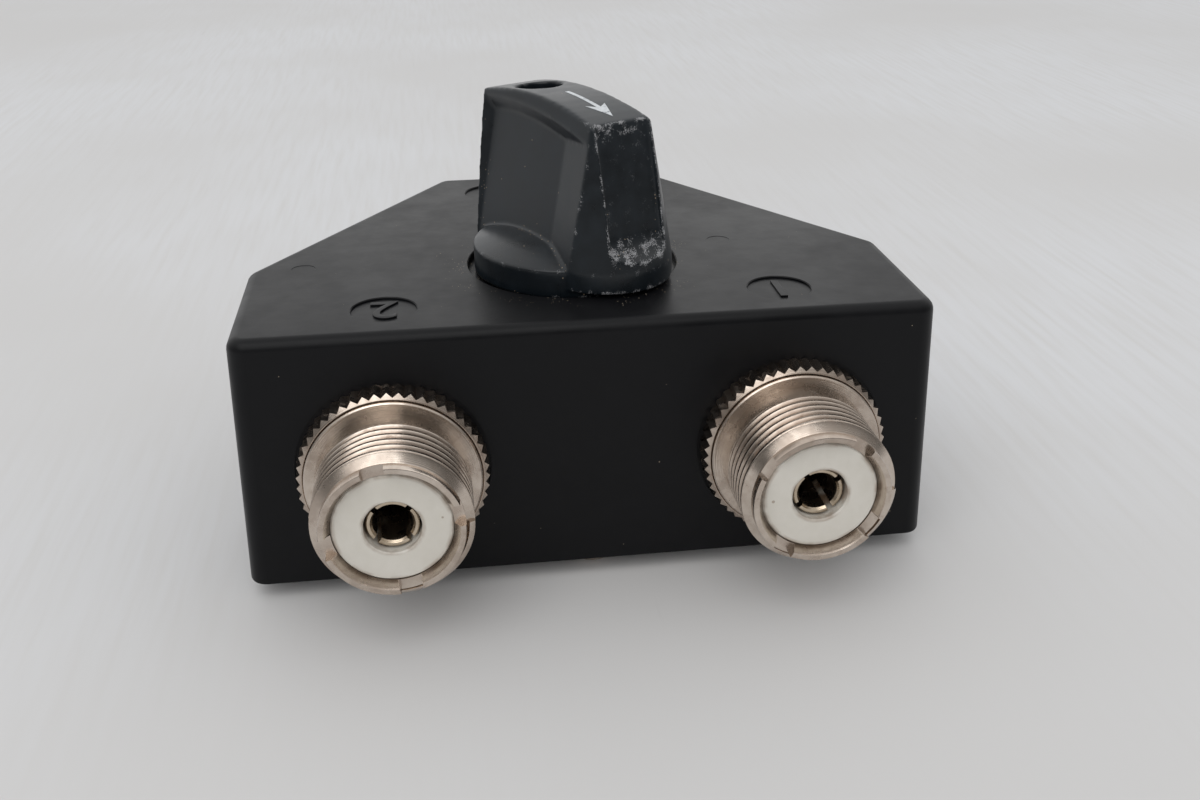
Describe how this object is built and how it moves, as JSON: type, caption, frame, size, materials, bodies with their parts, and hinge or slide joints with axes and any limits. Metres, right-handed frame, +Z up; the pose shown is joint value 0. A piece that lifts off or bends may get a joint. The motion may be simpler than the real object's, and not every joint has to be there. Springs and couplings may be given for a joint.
{
  "type": "coaxial antenna switch",
  "caption": "Die-cast two-way coaxial switch: two numbered threaded sockets, a common socket behind and a bar knob that turns a knife-blade rotor.",
  "frame": {"origin": "middle of the part's footprint, at the undersides of the three screw heads that it stands on", "axes": "+X to the right seen from the two numbered sockets, +Y towards the common socket behind, +Z up towards the knob"},
  "size_m": [0.0752, 0.0812, 0.0492],
  "materials": {
    "casting_paint": "semi-gloss black stoved paint",
    "cover_paint": "satin black paint",
    "nickel": "dull nickel plate, worn and warm in tone",
    "insulator_white": "off-white moulded insulator",
    "contact_metal": "plated brass",
    "strip_brass": "bare springy strip",
    "bushing_brass": "turned",
    "steel": "plain bright steel",
    "knob_black": "moulded black plastic, scuffed at the pointer end",
    "hub_plastic": "ivory moulded insulating plastic"
  },
  "bodies": {
    "housing": {"housing": "casting_paint", "bottom_cover": "cover_paint", "cover_screws": "nickel", "port_1_shell": "nickel", "port_1_ring_nut": "nickel", "port_1_insulator": "insulator_white", "port_1_contact": "contact_metal", "port_2_shell": "nickel", "port_2_ring_nut": "nickel", "port_2_insulator": "insulator_white", "port_2_contact": "contact_metal", "common_shell": "nickel", "common_ring_nut": "nickel", "common_insulator": "insulator_white", "common_contact": "contact_metal", "port_1_fork": "strip_brass", "port_2_fork": "strip_brass", "common_leaf": "strip_brass", "shaft_bushing": "bushing_brass", "detent_spring": "steel"},
    "rotor": {"knob": "knob_black", "knob_set_screw": "steel", "shaft": "steel", "thrust_washer": "nickel", "retaining_ring": "steel", "detent_plate": "steel", "rotor_hub": "hub_plastic", "signal_blade": "strip_brass", "ground_blade": "strip_brass", "blade_rivets": "nickel"},
    "ball": {"detent_ball": "steel"}
  },
  "joints": [
    {"name": "knob_turn", "type": "hinge", "parent": "housing", "child": "rotor", "pos_m": [0, -0.00825, 0.03], "axis": [0, 0, 1], "range_deg": [-56, 0]},
    {"name": "detent_ball_travel", "type": "slide", "parent": "housing", "child": "ball", "axis": [0, 0, -1], "range_m": [0, 0.0004], "stiffness_N_per_m": 800, "deforming": ["detent_spring"]}
  ]
}
